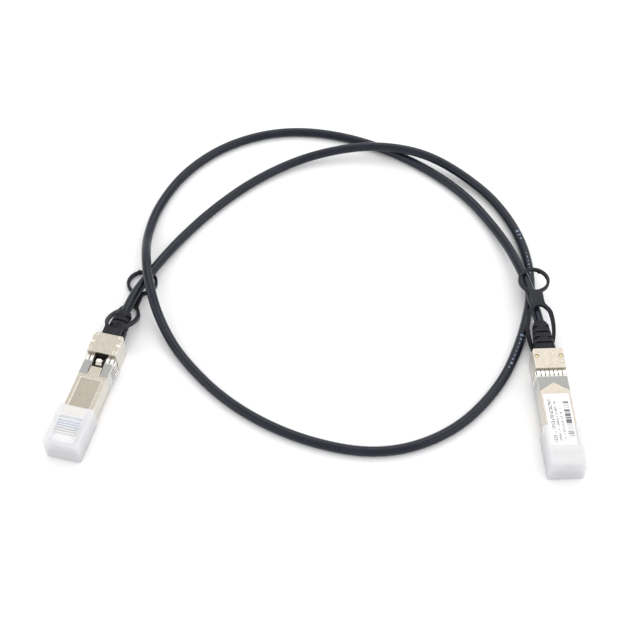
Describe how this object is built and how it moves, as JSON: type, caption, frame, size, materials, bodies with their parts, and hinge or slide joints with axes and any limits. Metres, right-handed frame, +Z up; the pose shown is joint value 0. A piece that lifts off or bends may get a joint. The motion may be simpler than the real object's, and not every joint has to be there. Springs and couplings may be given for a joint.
{
  "type": "direct attach copper cable",
  "caption": "Shielded copper cable with a pluggable transceiver-style module, pull tab and dust cap at each end, laid in a loose loop.",
  "frame": {"origin": "centre of the two modules' footprint, on the surface they lie on", "axes": "+X from the left module to the right one, +Y from the plugs towards the cable's far loop, +Z up"},
  "size_m": [0.229, 0.2125, 0.0122],
  "materials": {
    "housing": "nickel-plated die-cast zinc with a fine satin grain",
    "collar": "thin spring sheet, satin in front and bright on the fingers",
    "card": "green laminate board",
    "gold": "gold-plated contact",
    "chip": "black moulded package",
    "cores": "clear-white core insulation",
    "jacket": "satin black flexible jacket",
    "ferrule": "tinned crimp ferrule",
    "latch": "bright stamped steel",
    "spring": "drawn spring wire",
    "boot": "matte black moulded elastomer",
    "tab": "matte black moulded plastic",
    "cap": "milky translucent moulded plastic",
    "rivet": "bright rivet head",
    "label": "white printed label"
  },
  "bodies": {
    "modules_and_cable": {"left_top_shell": "housing", "left_latch_shell": "housing", "left_emi_collar": "collar", "left_paddle_card": "card", "left_card_contacts": "gold", "left_memory_chip": "chip", "left_wire_pairs": "cores", "left_cable_tail": "jacket", "left_crimp_ferrule": "ferrule", "left_latch_pin": "latch", "left_return_spring": "spring", "left_boot": "boot", "left_rivets": "rivet", "right_top_shell": "housing", "right_latch_shell": "housing", "right_emi_collar": "collar", "right_paddle_card": "card", "right_card_contacts": "gold", "right_memory_chip": "chip", "right_wire_pairs": "cores", "right_cable_tail": "jacket", "right_crimp_ferrule": "ferrule", "right_latch_pin": "latch", "right_return_spring": "spring", "right_boot": "boot", "right_rivets": "rivet", "right_label": "label", "cable": "jacket"},
    "left_cap": {"left_dust_cap": "cap"},
    "left_tab": {"left_pull_slider": "latch", "left_pull_tab": "tab"},
    "left_latch": {"left_latch_lever": "latch"},
    "right_cap": {"right_dust_cap": "cap"},
    "right_tab": {"right_pull_slider": "latch", "right_pull_tab": "tab"},
    "right_latch": {"right_latch_lever": "latch"}
  },
  "joints": [
    {"name": "left_cap_slide", "type": "slide", "parent": "modules_and_cable", "child": "left_cap", "axis": [-0.247, -0.969, 0], "range_m": [0, 0.022]},
    {"name": "left_tab_pull", "type": "slide", "parent": "modules_and_cable", "child": "left_tab", "axis": [0.247, 0.969, 0], "range_m": [0, 0.002], "stiffness_N_per_m": 1500, "deforming": ["left_return_spring"]},
    {"name": "left_latch_tilt", "type": "hinge", "parent": "modules_and_cable", "child": "left_latch", "pos_m": [-0.09257, 0.00839, 0.0093], "axis": [0.969, -0.247, 0], "range_deg": [0, 3.2]},
    {"name": "right_cap_slide", "type": "slide", "parent": "modules_and_cable", "child": "right_cap", "axis": [0.0384, -0.9993, 0], "range_m": [0, 0.022]},
    {"name": "right_tab_pull", "type": "slide", "parent": "modules_and_cable", "child": "right_tab", "axis": [-0.0384, 0.9993, 0], "range_m": [0, 0.002], "stiffness_N_per_m": 1500, "deforming": ["right_return_spring"]},
    {"name": "right_latch_tilt", "type": "hinge", "parent": "modules_and_cable", "child": "right_latch", "pos_m": [0.10428, 0.00046, 0.0029], "axis": [-0.9993, -0.0384, 0], "range_deg": [0, 3.2]}
  ],
  "couplings": [
    {"joint": "left_latch_tilt", "follows": "left_tab_pull", "rad_per_m": 27.9},
    {"joint": "right_latch_tilt", "follows": "right_tab_pull", "rad_per_m": 27.9}
  ]
}
